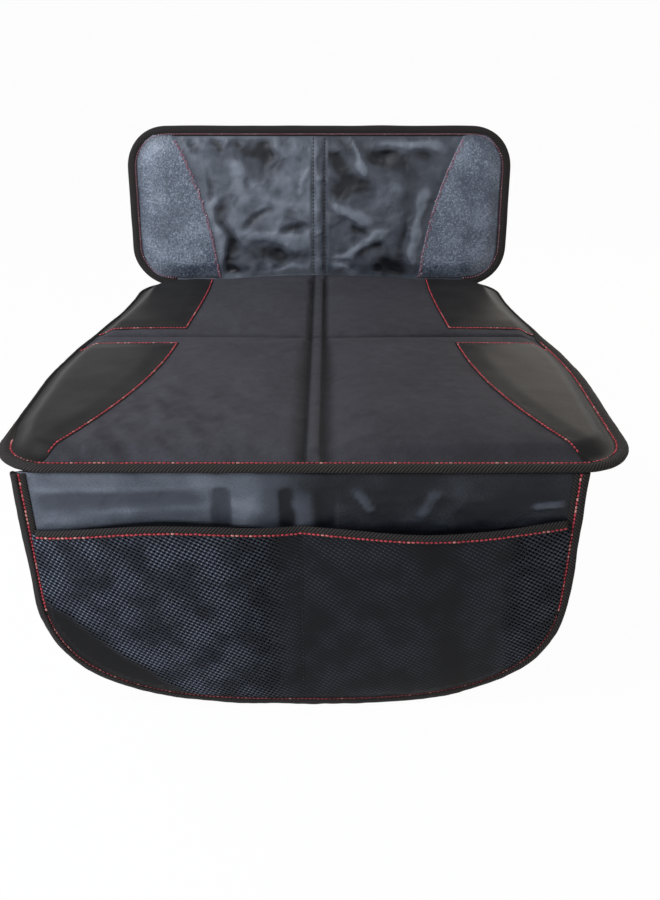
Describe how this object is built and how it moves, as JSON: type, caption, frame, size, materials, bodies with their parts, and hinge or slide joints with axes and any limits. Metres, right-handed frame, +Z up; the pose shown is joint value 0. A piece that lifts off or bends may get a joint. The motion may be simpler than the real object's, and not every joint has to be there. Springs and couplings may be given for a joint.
{
  "type": "car seat protector mat",
  "caption": "Padded mat that lies over a vehicle seat, with a low back panel that leans up behind and a hanging front flap with open mesh pockets.",
  "frame": {"origin": "middle of the seat panel's flat underside, where it lies on the vehicle seat", "axes": "+Z up out of the seat panel, -Y towards the front flap, +X to the right as seen from the front"},
  "size_m": [0.4846, 0.5026, 0.4054],
  "materials": {
    "woven_fabric": "matte plain-woven polyester, charcoal",
    "crinkled_nylon": "thin nylon with a low sheen and soft wrinkles, dark grey",
    "smooth_leatherette": "smooth black leatherette with a soft sheen",
    "pebbled_leatherette": "pebbled blue-grey leatherette with small bright specks",
    "bias_tape": "black twill tape with red topstitching beside it",
    "open_mesh": "black open polyester mesh"
  },
  "bodies": {
    "root": {"seat_panel": "woven_fabric", "back_panel": "crinkled_nylon", "front_flap": "crinkled_nylon", "seat_front_patch_left": "smooth_leatherette", "seat_front_patch_right": "smooth_leatherette", "seat_rear_patch_left": "smooth_leatherette", "seat_rear_patch_right": "smooth_leatherette", "back_side_patch_left": "pebbled_leatherette", "back_side_patch_right": "pebbled_leatherette", "seat_binding": "bias_tape", "back_binding": "bias_tape", "flap_binding": "bias_tape", "pocket_hem": "bias_tape", "pocket_mesh": "open_mesh"}
  },
  "joints": []
}
